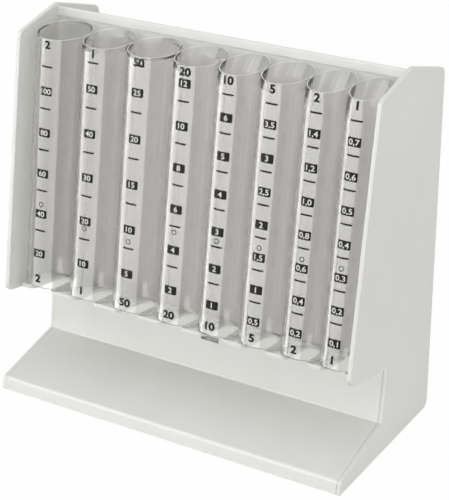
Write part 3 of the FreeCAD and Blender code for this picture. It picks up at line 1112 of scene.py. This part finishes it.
@dataclass(frozen=True)
class Softbox:
    """A soft rectangular light, in metres; one that leaves matt surfaces alone is a card for reflections."""

    name: str
    place: Triple
    target: Triple
    size: Pair
    radiance: float
    on_matt: bool = True
    through_glass: bool = True

    def build(self) -> None:
        """Add the light, turned to its target; at a radiance of one its face is white."""
        light = bpy.data.lights.new(self.name, "AREA")
        light.shape = "RECTANGLE"
        light.size, light.size_y = self.size
        light.energy = self.radiance * math.pi * self.size[0] * self.size[1]
        lamp = added(self.name, light)
        lamp.location = self.place
        x, y, z = np.array(self.target) - np.array(self.place)
        tilt, turn = math.atan2(z, math.hypot(x, y)), math.atan2(y, x)
        lamp.rotation_euler = (math.pi / 2 + tilt, 0.0, turn - math.pi / 2)
        lamp.visible_camera = False
        lamp.visible_diffuse = self.on_matt
        lamp.visible_transmission = self.through_glass


@dataclass
class Studio:
    """Floor, light and camera."""

    ambient: float = 0.6
    through: float = 0.25
    room: float = 0.35
    sweep: Triple = (0.6, 0.8, 0.0)
    sweep_limits: Pair = (-0.5, 0.2)
    bounces: int = 32
    floor_half: float = 4.0
    floor_glow: float = 0.97
    focal_px: float = 1647.64
    width_px: float = 449.0
    azimuth: float = math.radians(31.090)
    elevation: float = math.radians(25.322)
    roll: float = math.radians(-0.280)
    eye: Triple = (406.08, -659.84, 454.60)
    sensor: float = 36.0
    clip: Pair = (0.01, 50.0)
    lights: tuple[Softbox, ...] = (
        Softbox("front_high", (0.0, -0.93, 1.54), (0.0, 0.0, 0.11), (0.77, 1.10), 1.3),
        Softbox("top", (0.0, 0.0, 1.81), (0.0, 0.001, 0.0), (0.9, 0.9), 1.5),
        Softbox("fill_left", (-0.73, -0.34, 0.40), (0.0, 0.0, 0.11), (0.45, 0.55), 1.3),
        Softbox("side_right", (1.55, -0.27, 0.69), (0.0, 0.0, 0.11), (0.9, 1.1), 1.4),
        Softbox("card_front", (-0.54, -0.74, 0.3), (-0.54, 0.0, 0.3), (1.53, 1.2), 5.2, False, False),
        Softbox("card_high", (-0.70, -0.63, 1.28), (0.0, 0.0, 0.19), (1.2, 1.2), 3.5, False, False),
        Softbox("card_left", (-1.30, -0.24, -0.25), (0.0, -0.24, -0.25), (1.0, 1.1), 6.0, False),
    )

    def clear_view(self, tree: Tree) -> Socket:
        """Build the share of a ray that the camera sends through gloss and glass.

        Args:
            tree: the nodes of the world or of a material.

        Returns:
            One for such a ray, and zero for light that a matt surface gathers.
        """
        path = add_node(tree, "LightPath", {}).outputs
        rays = {"0": path["Is Glossy Ray"], "1": path["Is Transmission Ray"]}
        either = add_node(tree, "Math", {"operation": "MAXIMUM"} | rays)
        first = add_node(tree, "Math", {"operation": "LESS_THAN", "0": path["Diffuse Depth"], "1": 0.5})
        both = {"operation": "MULTIPLY", "0": either.outputs[0], "1": first.outputs[0]}
        return add_node(tree, "Math", both).outputs[0]

    def world(self) -> None:
        """Make the surroundings: even light, white for the camera, and a white sweep for gloss and glass.

        Gloss and glass see the white sweep behind the object and to its right, and the dim room in front of
        it to the left: the strength rises from one to the other with the direction's part along the sweep.
        """
        world = bpy.data.worlds.new("studio")
        bpy.context.scene.world = world
        tree = cleared(world)
        path = add_node(tree, "LightPath", {}).outputs
        place = add_node(tree, "TexCoord", {}).outputs["Generated"]
        along = add_node(tree, "VectorMath", {"operation": "DOT_PRODUCT", "0": place, "1": self.sweep})
        low, high = self.sweep_limits
        limits = {"From Min": low, "From Max": high, "To Min": self.room, "To Max": 1.0}
        room = add_node(tree, "MapRange", limits | {"Value": along.outputs["Value"]})
        matt = {"Factor": path["Is Transmission Ray"], "A": self.ambient, "B": self.through}
        gathered = add_node(tree, "Mix", matt)
        clear = {"Factor": self.clear_view(tree), "A": gathered.outputs[0], "B": room.outputs[0]}
        even = add_node(tree, "Mix", clear)
        seen = add_node(tree, "Mix", {"Factor": path["Is Camera Ray"], "A": even.outputs[0], "B": 1.0})
        white = {"Color": linear("#ffffff"), "Strength": seen.outputs[0]}
        add_node(tree, "OutputWorld", {"Surface": add_node(tree, "Background", white).outputs[0]})

    def floor(self) -> None:
        """Make the pale floor, which shows as white and keeps a part of the object's shadow."""
        half = self.floor_half
        mesh = bpy.data.meshes.new("floor")
        corners = [(-half, -half, 0), (half, -half, 0), (half, half, 0), (-half, half, 0)]
        mesh.from_pydata(corners, [], [(0, 1, 2, 3)])
        paper = bpy.data.materials.new("studio_paper")
        tree = cleared(paper)
        camera = add_node(tree, "LightPath", {}).outputs["Is Camera Ray"]
        seen = add_node(tree, "Math", {"operation": "MAXIMUM", "0": camera, "1": self.clear_view(tree)})
        part = {"operation": "MULTIPLY", "0": seen.outputs[0], "1": self.floor_glow}
        share = add_node(tree, "Math", part)
        matt = add_node(tree, "BsdfDiffuse", {"Color": linear("#f2f2f0")})
        glow = add_node(tree, "Emission", {"Strength": 1.0})
        both = {"0": share.outputs[0], "1": matt.outputs[0], "2": glow.outputs[0]}
        add_node(tree, "OutputMaterial", {"Surface": add_node(tree, "MixShader", both).outputs[0]})
        mesh.materials.append(paper)
        floor = added("floor", mesh)
        floor.visible_glossy = False

    def camera(self) -> None:
        """Place the camera by its direction, roll and eye."""
        data = bpy.data.cameras.new("camera")
        data.sensor_fit = "HORIZONTAL"
        data.sensor_width = self.sensor
        data.lens = self.focal_px / self.width_px * self.sensor
        data.clip_start, data.clip_end = self.clip
        camera = added("camera", data)
        place = Matrix.Translation(Vector(self.eye) * MM) @ Matrix.Rotation(self.azimuth, 4, "Z")
        tilt = Matrix.Rotation(math.pi / 2 - self.elevation, 4, "X")
        camera.matrix_world = place @ tilt @ Matrix.Rotation(self.roll, 4, "Z")
        bpy.context.scene.camera = camera

    def build(self) -> None:
        """Make the floor, the surroundings, the lights and the camera."""
        scene = bpy.context.scene
        scene.view_settings.view_transform = "Standard"
        scene.cycles.blur_glossy = 0.0
        scene.cycles.max_bounces = self.bounces
        scene.cycles.transmission_bounces = self.bounces
        scene.cycles.glossy_bounces = self.bounces
        self.world()
        self.floor()
        for light in self.lights:
            light.build()
        self.camera()


def main() -> None:
    """Build the coin counter's pieces in order."""
    logging.basicConfig(level=logging.INFO, format="%(name)s: %(message)s")
    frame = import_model()
    Stand().build()
    axes = TubeBank(frame["record"]["mounts"]).build()
    ReleaseComb(axes).build()
    HiddenHardware(frame["nodes"]).dress()
    Studio().build()


if __name__ == "__main__":
    main()
